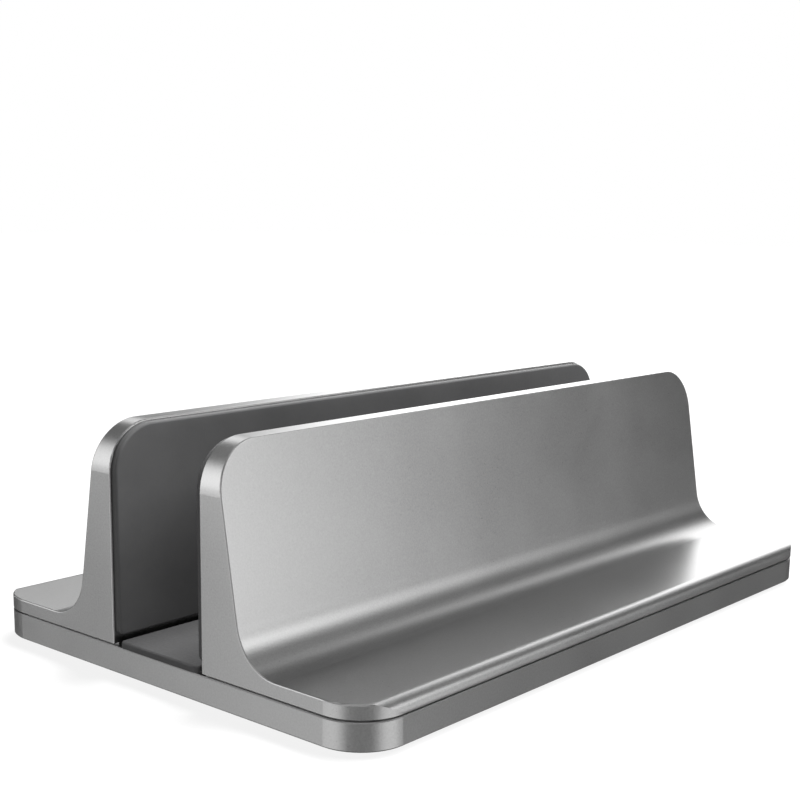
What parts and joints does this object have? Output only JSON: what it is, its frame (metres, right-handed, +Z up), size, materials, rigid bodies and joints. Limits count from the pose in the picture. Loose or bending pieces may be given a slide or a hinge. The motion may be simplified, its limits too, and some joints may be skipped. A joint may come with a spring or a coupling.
{
  "type": "vertical laptop stand",
  "caption": "Vertical laptop stand: a flat rounded metal base plate carries two L-shaped uprights that slide apart, lined with soft pads that hold a closed laptop on edge.",
  "frame": {"origin": "on the desk, under the middle of the stand", "axes": "+X along the slot, +Y from the front upright to the rear one, +Z up"},
  "size_m": [0.17, 0.11, 0.0518],
  "materials": {
    "anodised_aluminium": "bead-blasted and anodised grey",
    "black_silicone": "matte silicone",
    "foot_rubber": "matte",
    "screw_steel": "black oxide",
    "washer_steel": "zinc plated"
  },
  "bodies": {
    "base": {"base_plate": "anodised_aluminium", "floor_pad": "black_silicone", "rubber_foot_front_left": "foot_rubber", "rubber_foot_front_right": "foot_rubber", "rubber_foot_rear_left": "foot_rubber", "rubber_foot_rear_right": "foot_rubber"},
    "front_holder": {"front_upright": "anodised_aluminium", "front_side_pad": "black_silicone", "clamp_screw_front_left": "screw_steel", "washer_front_left": "washer_steel", "clamp_screw_front_right": "screw_steel", "washer_front_right": "washer_steel"},
    "rear_holder": {"rear_upright": "anodised_aluminium", "rear_side_pad": "black_silicone", "clamp_screw_rear_left": "screw_steel", "washer_rear_left": "washer_steel", "clamp_screw_rear_right": "screw_steel", "washer_rear_right": "washer_steel"}
  },
  "joints": [
    {"name": "front_upright_slide", "type": "slide", "parent": "base", "child": "front_holder", "axis": [0, -1, 0], "range_m": [0, 0.008]},
    {"name": "rear_upright_slide", "type": "slide", "parent": "base", "child": "rear_holder", "axis": [0, 1, 0], "range_m": [0, 0.008]}
  ]
}
